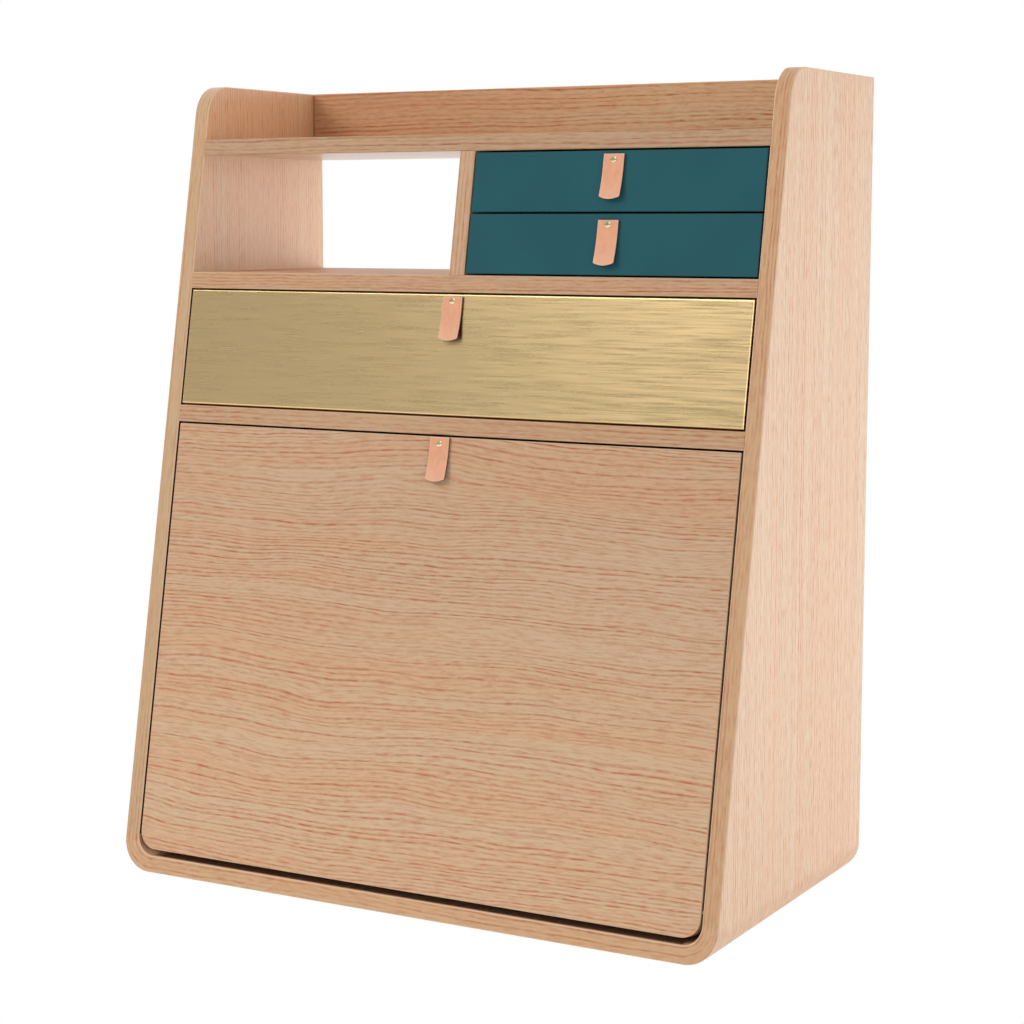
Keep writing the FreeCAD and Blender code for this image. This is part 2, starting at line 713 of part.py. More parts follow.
def box_heights(bay):
    return bay.foot + BOX_FOOT, bay.head - BOX_CROWN


def inner_y(height):
    """Inner face of a front, at a height."""
    return front_y(height) + BOARD_ALONG_Y


def runner_heights(bay):
    low, high = box_heights(bay)
    middle = low + (high - low) * RUNNER_PLACE_SHARE
    return middle - RUNNER_HEIGHT / 2, middle + RUNNER_HEIGHT / 2


def runner_ends(bay):
    low, high = runner_heights(bay)
    return inner_y(high) + RUNNER_SETBACK, BOX_BACK


def runner(bay, side, spare):
    """Runner strip on one side of a bay, with its section grown by spare for the groove."""
    low, high = runner_heights(bay)
    front, back = runner_ends(bay)
    wall = bay.right if side > 0 else bay.left
    tip = wall - side * (RUNNER_GAP + RUNNER_BITE + spare)
    return box(min(wall, tip), max(wall, tip), front - spare, back + spare, low - spare, high + spare)


def runners(bay):
    return Part.makeCompound([runner(bay, side, 0) for side in (-1, 1)])


def drawer_side(bay, side):
    """Side of a drawer's box, with the runner's groove outside and the floor's groove inside."""
    low, high = box_heights(bay)
    section = [(inner_y(low), low), (inner_y(high), high), (BOX_BACK, high), (BOX_BACK, low)]
    outer = (bay.right if side > 0 else bay.left) - side * RUNNER_GAP
    inner = outer - side * DRAWER_WALL
    wall = across(section, min(outer, inner), max(outer, inner))
    return wall.cut([runner(bay, side, SLIDING_FIT), drawer_floor(bay)])


def drawer_back(bay):
    """Back of a drawer's box, standing on its floor between the sides."""
    low, high = box_heights(bay)
    edge = RUNNER_GAP + DRAWER_WALL
    return box(bay.left + edge, bay.right - edge, BOX_BACK - DRAWER_WALL, BOX_BACK,
               low + FLOOR_RISE + DRAWER_FLOOR, high)


def drawer_floor(bay):
    """Floor of a drawer, slid into its sides' grooves from behind."""
    low = box_heights(bay)[0] + FLOOR_RISE
    high = low + DRAWER_FLOOR
    edge = RUNNER_GAP + DRAWER_WALL - FLOOR_GROOVE
    section = [(inner_y(low), low), (inner_y(high), high), (BOX_BACK, high), (BOX_BACK, low)]
    return across(section, bay.left + edge, bay.right - edge)


def drawer(name, bay):
    pieces = {
        name + "_left_side": drawer_side(bay, -1),
        name + "_right_side": drawer_side(bay, 1),
        name + "_back": drawer_back(bay),
        name + "_floor": drawer_floor(bay),
        name + "_runners": runners(bay),
        name + "_pull": on_front(pull(bay.tab), bay.head),
        name + "_pull_screw": on_front(pull_screw(bay.tab), bay.head),
    }
    if bay.brass:
        pieces[name + "_front"] = brass_core(bay).cut(pull_hole(bay))
        pieces[name + "_brass_face"] = brass_pan(bay)
    else:
        pieces[name + "_front"] = painted_front(bay)
    return pieces


def all_pieces():
    pieces = {
        "left_side": slotted(left_side()),
        "right_side": slotted(right_side()),
        "left_corner": left_corner(),
        "right_corner": right_corner(),
        "bottom_panel": bottom_panel(),
        "corner_tongues": corner_tongues(),
        "top_shelf": shelf(TOP_SHELF_HEIGHT, 0),
        "middle_shelf": shelf(MIDDLE_SHELF_HEIGHT, 0),
        "lower_shelf": shelf(LOWER_SHELF_HEIGHT, -BACK_BOARD),
        "top_rail": top_rail(),
        "divider": divider(),
        "back_panel": back_panel(),
        "small_bay_back": small_bay_back(),
        "shelf_tenons": Part.makeCompound(tenons(0)),
        "flap_pivot_pins": pivot_pins(),
        "stay_studs": stay_studs(),
        "flap_catches": flap_catches(),
        "flap_panel": flap_panel(),
        "flap_pivot_bushes": pivot_bushes(),
        "flap_strike_plates": on_front(pair(strike_plate()), FLAP_FOOT),
        "left_stay_bracket": left_bracket(),
        "right_stay_bracket": right_bracket(),
        "stay_rivets": stay_rivets(),
        "flap_pull": on_front(pull(FLAP_TAB), FLAP_HEAD),
        "flap_pull_screw": on_front(pull_screw(FLAP_TAB), FLAP_HEAD),
        "left_stay": left_stay(),
        "right_stay": right_stay(),
    }
    for name, bay in bays().items():
        pieces.update(drawer(name, bay))
    return pieces


def main():
    """Export every piece, with the origin at the middle of the wall screws on the wall's plane."""
    os.makedirs("parts", exist_ok=True)
    for name, shape in all_pieces().items():
        shape.translate(vec(0, 0, -WALL_SCREW_CENTRE))
        shape.exportStep("parts/" + name + ".step")


if __name__ == "__main__":
    main()
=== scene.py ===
"""Looks of a fold-down wall desk: oak, teal paint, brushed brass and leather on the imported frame."""
import json
import math
from typing import NamedTuple

import bmesh
import bpy
from mathutils import Matrix, Vector

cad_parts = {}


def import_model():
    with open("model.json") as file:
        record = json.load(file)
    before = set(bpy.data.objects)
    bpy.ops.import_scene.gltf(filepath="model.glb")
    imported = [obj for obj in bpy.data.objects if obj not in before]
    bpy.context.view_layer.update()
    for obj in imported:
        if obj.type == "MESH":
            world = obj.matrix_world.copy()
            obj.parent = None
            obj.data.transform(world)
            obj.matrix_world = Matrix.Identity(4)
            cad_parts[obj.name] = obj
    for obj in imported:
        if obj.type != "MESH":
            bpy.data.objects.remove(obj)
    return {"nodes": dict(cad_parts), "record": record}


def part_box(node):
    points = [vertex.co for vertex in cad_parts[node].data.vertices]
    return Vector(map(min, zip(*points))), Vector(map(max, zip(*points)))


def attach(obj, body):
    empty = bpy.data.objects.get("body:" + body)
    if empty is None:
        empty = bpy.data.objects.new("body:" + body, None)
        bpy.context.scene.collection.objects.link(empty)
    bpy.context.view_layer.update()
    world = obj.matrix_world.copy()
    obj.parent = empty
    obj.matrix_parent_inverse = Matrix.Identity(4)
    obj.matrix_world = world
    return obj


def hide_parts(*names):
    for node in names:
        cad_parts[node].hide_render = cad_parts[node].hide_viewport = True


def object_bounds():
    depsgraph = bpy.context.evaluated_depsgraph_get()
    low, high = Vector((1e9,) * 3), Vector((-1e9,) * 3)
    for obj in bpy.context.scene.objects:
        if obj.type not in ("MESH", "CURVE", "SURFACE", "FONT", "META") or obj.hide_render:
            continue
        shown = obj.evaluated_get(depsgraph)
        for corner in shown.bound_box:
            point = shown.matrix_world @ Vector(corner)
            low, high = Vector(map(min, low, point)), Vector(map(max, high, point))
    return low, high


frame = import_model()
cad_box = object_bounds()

X, Y, Z = range(3)
WHITE = (1.0, 1.0, 1.0)


class Lamp(NamedTuple):
    """A square lamp, in metres and watts; a mirrored one shows in what is glossy."""
    place: tuple
    aim: Vector
    size: float
    watts: float
    mirrored: bool


class Board(NamedTuple):
    """The oak of one board.

    Its grain follows the bent strip, stands upright, or runs along, across and through three of the
    frame's axes, and its seed is its place in the log. Rings are growth lines per metre, and wave is how
    far they wander. Edge tints what faces the front or the back. Arris is the axis that tells eased
    edges, and paler is how much painted highlight, a lighter colour, these get.
    """
    grain: str
    seed: float
    rings: float = 230.0
    wave: float = 0.012
    contrast: float = 1.0
    tint: tuple = WHITE
    edge: tuple = WHITE
    arris: int = Y
    paler: float = 0.5
    lacquer: float = 0.0


# Camera: metres and degrees, and millimetres for the lens and its sensor
CAMERA_PLACE = Vector((1.01803, -1.93491, 0.31435))
CAMERA_YAW = 29.2505
CAMERA_PITCH = -7.2689
CAMERA_LENS = 80.1
CAMERA_SENSOR = 36.0

# Floor: metres, and its share of plain white near the object and far from it
FLOOR_DROP = 0.7
FLOOR_SIZE = 40.0
FLOOR_FADE = (0.5, 1.2)
FLOOR_WHITE_SHARES = (0.6, 1.0)
FLOOR_SPECKLE = (40.0, 40.0, 40.0)
FLOOR_GREY = (0.88, 0.88, 0.88)
FLOOR_PALE = (0.92, 0.92, 0.92)

# World: strengths, and the x and y of a direction between which they change
FILL_FRONT = 0.46
FILL_BACK = 1.1
FILL_TURN = (-0.3, 0.5)
ROOM_FRONT = 0.345
ROOM_TURN_X = (-0.3, 0.1)
ROOM_TURN_Y = (-0.45, 0.0)

# Lamps
AIM = Vector((0, -0.16, 0.08))
RIGHT_SIDE_AIM = Vector((0.3, -0.15, 0.08))
NICHE_AIM = Vector((-0.285, -0.14, 0.36))
LAMPS = {
    "key": Lamp((-1.68, -2.04, 1.70), AIM, size=1.2, watts=35.0, mirrored=False),
    "right_fill": Lamp((2.4, -1.6, 0.45), AIM, size=1.6, watts=10.0, mirrored=True),
    "back_right": Lamp((1.45, 1.55, -0.1), RIGHT_SIDE_AIM, size=1.5, watts=14.0, mirrored=True),
    "wall_bounce": Lamp((-0.05, 0.16, 0.27), NICHE_AIM, size=0.15, watts=0.22, mirrored=False),
    "brass_above": Lamp((-1.3, 0.4, 2.4), AIM, size=2.0, watts=60.0, mirrored=True),
    "brass_front": Lamp((-0.95, -2.17, 2.1), AIM, size=0.9, watts=11.0, mirrored=True),
}
NICHE_BOARDS = ("left_side", "top_shelf")

# Linear colours
OAK_PALE = (0.67, 0.465, 0.292)
OAK_WARM = (0.68, 0.428, 0.254)
OAK_LINE = (0.46, 0.130, 0.045)
# Painted highlight along the eased edges of the oak
OAK_ARRIS_HIGHLIGHT = (0.86, 0.640, 0.440)
# Painted shade in the gap beside the fronts
GAP_PAINTED_SHADE = (0.035, 0.014, 0.006)
BEECH = (0.62, 0.40, 0.24)
DRAWER_WOOD = (0.66, 0.45, 0.27)
TEAL = (0.0215, 0.098, 0.116)
BRASS = (0.95, 0.697, 0.354)
BRASS_FITTING = (0.95, 0.80, 0.50)
STEEL = (0.56, 0.57, 0.58)
PLASTIC = (0.03, 0.02, 0.014)
LEATHER = (0.855, 0.414, 0.247)
# Painted highlight on the leather tabs' lower end and along their outline
LEATHER_PAINTED_HIGHLIGHT = (0.90, 0.54, 0.37)
# Burnished leather edges, darkened further with the tab's back as painted shade
LEATHER_EDGE_AND_SHADE = (0.045, 0.018, 0.008)

# Oak boards: the bent strip is one length of wood, and every other board has its own place in the log
BENT_STRIP = Board("strip", 5.0, rings=280.0, wave=0.006, contrast=0.9,
                   tint=(1.03, 1.04, 1.06), edge=(1.0, 0.91, 0.80), paler=0.8)
BOARDS = {
    "right_side": BENT_STRIP._replace(tint=(1.03, 1.05, 1.08), edge=(0.96, 0.85, 0.74), arris=X),
    "right_corner": BENT_STRIP,
    "bottom_panel": BENT_STRIP,
    "left_corner": BENT_STRIP,
    "left_side": BENT_STRIP._replace(tint=(1.04, 1.0, 0.97), edge=(0.93, 0.90, 0.85), arris=X,
                                     contrast=0.7, lacquer=0.4),
    "top_shelf": Board("XYZ", 1.0, tint=(1.03, 1.09, 1.13), edge=(0.77, 0.69, 0.61), paler=0.0, lacquer=1.0),
    "middle_shelf": Board("XYZ", 2.0, edge=(0.90, 0.86, 0.83), paler=0.4),
    "lower_shelf": Board("XYZ", 3.0, edge=(0.88, 0.83, 0.78), paler=0.4),
    "top_rail": Board("XZY", 4.0, tint=(0.95, 0.91, 0.83), paler=0.2),
    "back_panel": Board("XZY", 7.0),
    "small_bay_back": Board("XZY", 9.0),
    "flap_panel": Board("XZY", 6.0, wave=0.036),
    "divider": Board("upright", 8.0, wave=0.006, contrast=0.8, edge=(0.93, 0.92, 0.92)),
}

# Boards whose tint changes along them: where, in metres, and from which tint to which
# Painted light and shade: the left side's inner face is warmer above the top shelf, in the tray, than below
# it, in the niche
LEFT_SIDE_PAINTED_LIGHT_TINTS = ((0.96, 1.0, 0.99), (1.09, 1.02, 0.96))
# Painted shade: the rail is darker and warmer towards its left end and paler towards its right
RAIL_FADE = (-0.25, 0.20)
RAIL_PAINTED_SHADE_TINTS = ((0.94, 0.83, 0.79), (1.05, 1.14, 1.19))
FLAP_FADE = (-0.25, 0.12)
FLAP_TINTS = ((1.06, 1.06, 1.06), (0.94, 0.94, 0.94))

# Painted shade: a dark band on both sides' inner faces, just behind the fronts, where the narrow gap beside
# them is in shade
GAP_DEPTH = 0.006

# How far a face turns to an axis, from 0 to 1, to count as facing it
FRONT_FACING = 0.25
FLAT_FACING = 0.5
INNER_FACING = 0.95
ARRIS_FACING = (0.3, 0.93)

# Noise: its middle value, most of its range, and how far apart it is read on neighbouring rows
NOISE_MIDDLE = 0.5
NOISE_RANGE = (0.3, 0.7)
ROW_STEP = 3.77

# Oak's figure: a pattern is its counts per metre along, across and through a board, a ramp is the noise
# values between which it rises and, where given, what it rises from and to
LOG_STEP = 3.7
BROAD_BEND = (1.1, 4.0, 4.0)
BROAD_BEND_SHARE = 1.4
MIDDLE_BEND = (4.0, 9.0, 9.0)
FINE_BEND = (22.0, 60.0, 60.0)
FINE_BEND_REACH = 0.0035
RING_SPACING = (0.9, 34.0, 0.0)
RING_SPACING_TURNS = 2.6
LINE_RISE = (0.0, 0.24)
LINE_FALL = (0.66, 0.32)
PORE_BEADS = (85.0, ROW_STEP, 0.0)
PORE_BEAD_RAMP = (0.32, 0.68, 0.42, 1.0)
LINE_STRENGTH = (2.2, 1.93, 0.0)
LINE_STRENGTH_RAMP = (0.34, 0.66, 0.14, 1.0)
FIBRES = (70.0, 580.0, 130.0)
FIBRE_HARSHNESS = 0.6
FIBRE_RAMP = (0.44, 0.66)
FLECKS = (230.0, 760.0, 300.0)
FLECK_RAMP = (0.58, 0.74)
FLECK_ZONES = (4.0, 17.0, 5.0)
FLECK_ZONE_RAMP = (0.42, 0.62)
BROAD_WARMTH = (0.8, 13.0, 5.0)
BROAD_WARMTH_SHARE = 0.55
NARROW_WARMTH = (2.0, 58.0, 20.0)
NARROW_WARMTH_SHARE = 0.45
WARMTH_RAMP = (0.42, 0.58)
LINE_SHARE = 0.76
FIBRE_SHARE = 0.30
FLECK_SHARE = 0.22
OAK_ROUGHNESS_RAMP = (0.2, 0.8, 0.40, 0.54)
OAK_SPECULAR = 0.45
LACQUER_ROUGHNESS = 0.3

# Bumps: height in metres, and strength
OAK_BUMP = (0.00012, 0.5)
WOOD_BUMP = (0.00008, 0.4)
TEAL_BUMP = (0.00003, 0.3)
BRASS_BUMP = (0.00003, 0.12)
FITTING_BUMP = (0.00002, 0.2)
PLASTIC_BUMP = (0.00004, 0.4)
LEATHER_BUMP = (0.00008, 0.45)

# Plain hardwood; its grain runs from side to side, but from front to back in deep pieces
WOOD_STREAKS = (9.0, 240.0, 240.0)
WOOD_STREAK_RAMP = (0.35, 0.7, 0.0, 0.6)
WOOD_FLECKS = (160.0, 1400.0, 1400.0)
WOOD_FLECK_RAMP = (0.6, 0.75, 0.0, 0.4)
WOOD_DARKER_SHARE = 0.72
WOOD_ROUGHNESS = (0.5, 0.6)
DEEP_PIECES = ("_left_side", "_right_side", "_runners", "_tongues")

# Teal paint
TEAL_STIPPLE = (900.0, 900.0, 900.0)
TEAL_CLOUDS = (14.0, 14.0, 14.0)
TEAL_LIGHTER_SHARE = 1.08
TEAL_ROUGHNESS = (0.42, 0.50)
TEAL_SPECULAR = 0.15

# Brushed brass: each layer of strokes has its rows per metre up the face and its count per metre along it
BRASS_LAYERS = ((900.0, 14.0), (1400.0, 26.0))
BRASS_LAYER_SHARE = 0.5
BRASS_WAVES = (9.0, 9.0, 9.0)
BRASS_WAVE_REACH = 0.0015
BRASS_CLOUDS = (5.0, 9.0, 9.0)
BRASS_CLOUD_SHARE = 0.03
BRASS_BITE_RAMP = (-0.18, 0.32, 0.05, 0.64)
BRASS_STROKE_RAMP = (0.66, 0.30)
BRASS_DARKER_SHARE = 0.5
BRASS_ROUGHNESS_RAMP = (0.35, 0.65, 0.27, 0.31)
BRASS_ANISOTROPY = 0.8

# Metal fittings
FITTING_SCRATCHES = (260.0, 2600.0, 900.0)
FITTING_SPOTS = (320.0, 320.0, 320.0)
FITTING_SPOT_RAMP = (0.45, 0.75)
FITTING_DARKER_SHARE = 0.8
FITTING_ROUGHNESS_SPREAD = 0.12
BRASS_FITTING_ROUGHNESS = 0.16
STEEL_ROUGHNESS = 0.28

# Moulded plastic
PLASTIC_STIPPLE = (1500.0, 1500.0, 1500.0)
PLASTIC_LIGHTER_SHARE = 1.5
PLASTIC_ROUGHNESS = (0.45, 0.6)

# Leather; a tab's rim value grows towards its outline on the front and is 1 on its sides and back
LEATHER_PORES = (2600.0, 2600.0, 1700.0)
LEATHER_PORE_RAMP = (0.55, 0.75, 0.0, 0.25)
LEATHER_MOTTLE = (260.0, 260.0, 120.0)
LEATHER_DARKER_SHARE = 0.90
# Painted highlight: the lower end and the front's outline grow paler
LEATHER_DROP_RAMP = (0.45, 1.0, 0.0, 0.4)
LEATHER_RIM_RAMP = (0.1, 0.55, 0.0, 0.7)
# Dark edges and back: partly burnish, partly painted shade
LEATHER_EDGE_RAMP = (0.63, 0.72)
LEATHER_SPECULAR = 0.4
LEATHER_ROUGHNESS = (0.48, 0.6)
FRONT_RIM = 0.62

# Leather tabs and their screws
TAB_THICKNESS = 0.0026
TAB_FLAT = 0.010
TAB_STANDOFF = 0.0036
TAB_END_RISE = 0.0026
TAB_ROUNDING = 0.0006
TAB_DIMPLE = 0.0005
TAB_DIMPLE_RADIUS = 0.0055
TAB_RIM = 0.0016
TAB_END_ROW = 0.0005
TAB_STEPS = 26
TAB_COLUMN_SHARES = (0.2, 0.4, 0.65, 0.85, 0.95, 1.0)
SCREW_RADIUS = 0.0031
SCREW_HEIGHT = 0.0017
SCREW_SHANK = 0.009
SCREW_SHANK_SHARE = 0.55
SCREW_EDGE_SHARE = 0.18
SCREW_RINGS = 8
SCREW_SIDES = 40
SCREW_SHARP_ANGLE = math.radians(32)
SLOT_WIDTH = 0.0012
SLOT_DEPTH = 0.0012
SLOT_CUT_LENGTH = 0.05
SLOT_TURN = math.radians(6)
SLOT_TURN_SHARES = {"upper_drawer": -0.9, "lower_drawer": -0.4, "wide_drawer": -1.2, "flap": 1.0}

# Small screws of the stay brackets and of the catches; their slots' turns are in radians
BRACKET_PLATE = 0.0025
BRACKET_SCREW_RISE = 0.018
BRACKET_SCREW_INSET = 0.011
BRACKET_SLOT_TURN = 0.6
CATCH_SCREW_REACH = 0.012
CATCH_LENGTH = 0.040
CATCH_SLOT_TURN = 0.4
SMALL_SCREW_RADIUS = 0.0026
SMALL_SCREW_HEIGHT = 0.0013
SMALL_SCREW_SHANK = 0.006

nodes = frame["nodes"]


class Graph:
    """A node tree of a material or a world, with short ways to add nodes and feed their sockets."""

    def __init__(self, owner, output):
        owner.use_nodes = True
        self.tree = owner.node_tree
        self.tree.nodes.clear()
        self.output = self.node(output, {})
        self.coordinates = self.node("ShaderNodeTexCoord", {}).outputs

    def feed(self, socket, value):
        """Link a socket to another, or set its value."""
        if isinstance(value, bpy.types.NodeSocket):
            self.tree.links.new(value, socket)
        elif isinstance(value, tuple) and socket.type == "RGBA":
            socket.default_value = (*value, 1.0)
        else:
            socket.default_value = value

    def node(self, kind, inputs, **settings):
        made = self.tree.nodes.new(kind)
        for name, value in settings.items():
            setattr(made, name, value)
        for key, value in inputs.items():
            self.feed(made.inputs[key], value)
        return made

    def math(self, operation, first, second=0.0):
        return self.node("ShaderNodeMath", {0: first, 1: second}, operation=operation).outputs[0]

    def add(self, first, second):
        return self.math("ADD", first, second)

    def times(self, first, second):
        return self.math("MULTIPLY", first, second)

    def split(self, vector):
        return self.node("ShaderNodeSeparateXYZ", {0: vector}).outputs

    def join(self, x, y, z):
        return self.node("ShaderNodeCombineXYZ", {0: x, 1: y, 2: z}).outputs[0]

    def stretched(self, axes, counts):
        """Three coordinates, each times its own count per metre."""
        return self.join(*(self.times(axis, count) for axis, count in zip(axes, counts)))

    def noise(self, axes, counts, detail=2.0, harshness=0.5):
        inputs = {
            "Vector": self.stretched(axes, counts),
            "Scale": 1.0,
            "Detail": detail,
            "Roughness": harshness,
        }
        return self.node("ShaderNodeTexNoise", inputs).outputs[0]

    def ramp(self, value, low, high, to_low=0.0, to_high=1.0):
        """Smooth step of a value between low and high."""
        inputs = {0: value, 1: low, 2: high, 3: to_low, 4: to_high}
        return self.node("ShaderNodeMapRange", inputs, interpolation_type="SMOOTHSTEP").outputs[0]

    def mix(self, factor, first, second, **settings):
        """Mix of two colours, by the node's sockets for colours."""
        inputs = {0: factor, 6: first, 7: second}
        return self.node("ShaderNodeMix", inputs, data_type="RGBA", **settings).outputs[2]

    def multiplied(self, factor, first, second):
        return self.mix(factor, first, second, blend_type="MULTIPLY")

    def blend(self, factor, first, second):
        return self.node("ShaderNodeMixShader", {0: factor, 1: first, 2: second}).outputs[0]

    def ray(self, *kinds):
        """1 for rays of any of the kinds named."""
        path = self.node("ShaderNodeLightPath", {}).outputs
        found = path["Is " + kinds[0] + " Ray"]
        for kind in kinds[1:]:
            found = self.math("MAXIMUM", found, path["Is " + kind + " Ray"])
        return found


class Finish(Graph):
    """A material with one principled shader."""

    def __init__(self, name):
        self.material = bpy.data.materials.new(name)
        super().__init__(self.material, "ShaderNodeOutputMaterial")
        self.shader = self.node("ShaderNodeBsdfPrincipled", {})
        self.feed(self.output.inputs["Surface"], self.shader.outputs[0])
        self.axes = self.split(self.coordinates["Object"])
        self.facing = self.split(self.coordinates["Normal"])

    def faces(self, axis):
        """How far a face turns to an axis, either way."""
        return self.math("ABSOLUTE", self.facing[axis])

    def attribute(self, name):
        return self.node("ShaderNodeAttribute", {}, attribute_name=name).outputs["Fac"]

    def bump(self, height, distance, strength):
        inputs = {"Height": height, "Distance": distance, "Strength": strength}
        self.set(Normal=self.node("ShaderNodeBump", inputs).outputs[0])

    def set(self, **inputs):
        for name, value in inputs.items():
            self.feed(self.shader.inputs[name.replace("_", " ")], value)


def tinted(colour, tint):
    return tuple(part * share for part, share in zip(colour, tint))


def shaded(colour, share):
    return tuple(part * share for part in colour)


# Oak, by grain axes that run along, across and through a board

def ring_axes(finish, grain_axes, board):
    """A board's place in its log, with the growth rings' wandering course in place of the across axis."""
    along, across, through = grain_axes
    along = finish.add(along, board.seed * LOG_STEP)
    through = finish.add(through, board.seed * LOG_STEP)
    ring = finish.add(across, through)
    broad_reach = BROAD_BEND_SHARE * board.wave
    bends = ((BROAD_BEND, broad_reach), (MIDDLE_BEND, board.wave), (FINE_BEND, FINE_BEND_REACH))
    for counts, reach in bends:
        bend = finish.add(finish.noise((along, across, through), counts), -NOISE_MIDDLE)
        ring = finish.add(ring, finish.times(bend, reach))
    return along, ring, through


def growth_lines(finish, cut, rings):
    """Dark lines of early wood, one for each ring, beaded by pores and uneven in strength."""
    along, ring, through = cut
    spacing = finish.times(finish.noise(cut, RING_SPACING, detail=1.0), RING_SPACING_TURNS)
    turn = finish.add(finish.times(ring, rings), spacing)
    rows = (along, finish.math("FLOOR", turn), through)
    phase = finish.math("FRACT", turn)
    early = finish.times(finish.ramp(phase, *LINE_RISE), finish.ramp(phase, *LINE_FALL))
    beads = finish.ramp(finish.noise(rows, PORE_BEADS), *PORE_BEAD_RAMP)
    strength = finish.ramp(finish.noise(rows, LINE_STRENGTH, detail=1.0), *LINE_STRENGTH_RAMP)
    return finish.times(finish.times(early, beads), strength)


def figure_depth(finish, cut, fibres, board):
    """How dark growth lines, fibres and flecks together make the wood."""
    lines = finish.times(growth_lines(finish, cut, board.rings), LINE_SHARE)
    fibre_depth = finish.times(finish.ramp(fibres, *FIBRE_RAMP), FIBRE_SHARE)
    flecks = finish.ramp(finish.noise(cut, FLECKS, detail=1.0), *FLECK_RAMP)
    zones = finish.ramp(finish.noise(cut, FLECK_ZONES), *FLECK_ZONE_RAMP)
    fleck_depth = finish.times(finish.times(flecks, zones), FLECK_SHARE)
    return finish.times(finish.add(finish.add(lines, fibre_depth), fleck_depth), board.contrast)


def figure_colour(finish, cut, depth, tint):
    """Paler and warmer streaks, darkened by the figure's depth."""
    broad = finish.times(finish.noise(cut, BROAD_WARMTH), BROAD_WARMTH_SHARE)
    narrow = finish.times(finish.noise(cut, NARROW_WARMTH), NARROW_WARMTH_SHARE)
    warmth = finish.ramp(finish.add(broad, narrow), *WARMTH_RAMP)
    colour = finish.mix(warmth, tinted(OAK_PALE, tint), tinted(OAK_WARM, tint))
    return finish.mix(depth, colour, tinted(OAK_LINE, tint))


def oak(finish, grain_axes, board, fade, gap_shade):
    """Oak of a board; fade is a factor and two tints, gap_shade is 1 where the painted gap shade goes, and
    both may be None.
    """
    cut = ring_axes(finish, grain_axes, board)
    fibres = finish.noise(cut, FIBRES, harshness=FIBRE_HARSHNESS)
    depth = figure_depth(finish, cut, fibres, board)
    colour = figure_colour(finish, cut, depth, board.tint)
    if fade is not None:
        colour = finish.multiplied(1.0, colour, finish.mix(*fade))
    # Painted shade: the dark band in the gap beside the fronts
    if gap_shade is not None:
        colour = finish.mix(gap_shade, colour, GAP_PAINTED_SHADE)
    to_front = finish.math("GREATER_THAN", finish.faces(Y), FRONT_FACING)
    colour = finish.multiplied(to_front, colour, board.edge)
    slant = finish.faces(board.arris)
    least, most = ARRIS_FACING
    eased = finish.times(finish.math("GREATER_THAN", slant, least), finish.math("LESS_THAN", slant, most))
    # Painted highlight: eased edges get a paler colour in place of their own shine
    finish.set(Base_Color=finish.mix(finish.times(eased, board.paler), colour, OAK_ARRIS_HIGHLIGHT))
    finish.set(Roughness=finish.ramp(fibres, *OAK_ROUGHNESS_RAMP))
    finish.set(Specular_IOR_Level=finish.ramp(eased, 0.0, 1.0, OAK_SPECULAR, 0.0))
    if board.lacquer:
        finish.set(Coat_Weight=finish.ramp(eased, 0.0, 1.0, board.lacquer, 0.0))
        finish.set(Coat_Roughness=LACQUER_ROUGHNESS)
    finish.bump(finish.times(depth, -1.0), *OAK_BUMP)
    return finish.material


def in_order(finish, letters):
    """Grain axes that follow three of the frame's axes."""
    return tuple(finish.axes["XYZ".index(letter)] for letter in letters)


def kept_facing(finish, across, axis):
    """The across coordinate on faces that turn to an axis, and 0 on the others, where lines run along."""
    return finish.times(across, finish.math("GREATER_THAN", finish.faces(axis), FLAT_FACING))


def dropped_facing(finish, across, axis):
    """The across coordinate, but 0 on faces that turn to an axis, where lines run along."""
    return finish.add(across, finish.times(kept_facing(finish, across, axis), -1.0))


def strip_axes(finish, piece):
    """Grain axes along the bent strip of both sides, both corners and the bottom panel."""
    low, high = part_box("right_corner")
    radius = high.x - low.x
    quarter = radius * math.pi / 2
    x, y, z = finish.axes
    outward = finish.times(x, -1.0 if piece.startswith("left") else 1.0)
    if piece.endswith("side"):
        along = finish.add(z, -high.z)
        through = finish.add(finish.times(outward, -1.0), high.x)
        across = kept_facing(finish, y, X)
    elif piece.endswith("corner"):
        reach = finish.add(outward, -low.x)
        drop = finish.add(finish.times(z, -1.0), high.z)
        along = finish.times(finish.math("ARCTAN2", drop, reach), -radius)
        spread = finish.add(finish.times(reach, reach), finish.times(drop, drop))
        through = finish.add(finish.times(finish.math("SQRT", spread), -1.0), radius)
        across = dropped_facing(finish, y, Y)
    else:
        along = finish.add(x, -low.x - quarter)
        through = finish.add(z, -low.z)
        across = dropped_facing(finish, y, Y)
    if piece.startswith("left"):
        along = finish.add(finish.times(along, -1.0), -2 * (low.x + quarter))
    return along, across, through


def board_axes(finish, piece):
    """Grain axes of a board, as its row in the table says."""
    grain = BOARDS[piece].grain
    if grain == "strip":
        return strip_axes(finish, piece)
    if grain == "upright":
        x, y, z = finish.axes
        return z, kept_facing(finish, y, X), x
    return in_order(finish, grain)


def inner_face(finish, piece):
    """1 on the inner face of a side."""
    inward = finish.times(finish.facing[X], 1.0 if piece.startswith("left") else -1.0)
    return finish.math("GREATER_THAN", inward, INNER_FACING)


def painted_gap_shade(finish, piece):
    """Painted shade: 1 on a side's inner face just behind the fronts, from the middle shelf down, where the
    gap beside them is in shade.
    """
    outward = front_axes()[0]
    y, z = finish.axes[Y], finish.axes[Z]
    depth = finish.add(finish.times(y, -outward.y), finish.times(z, -outward.z))
    behind = finish.add(depth, reach_along(piece, outward)[1])
    low = finish.math("LESS_THAN", z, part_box("middle_shelf")[0].z)
    band = finish.times(low, finish.math("LESS_THAN", behind, GAP_DEPTH))
    return finish.times(band, inner_face(finish, piece))


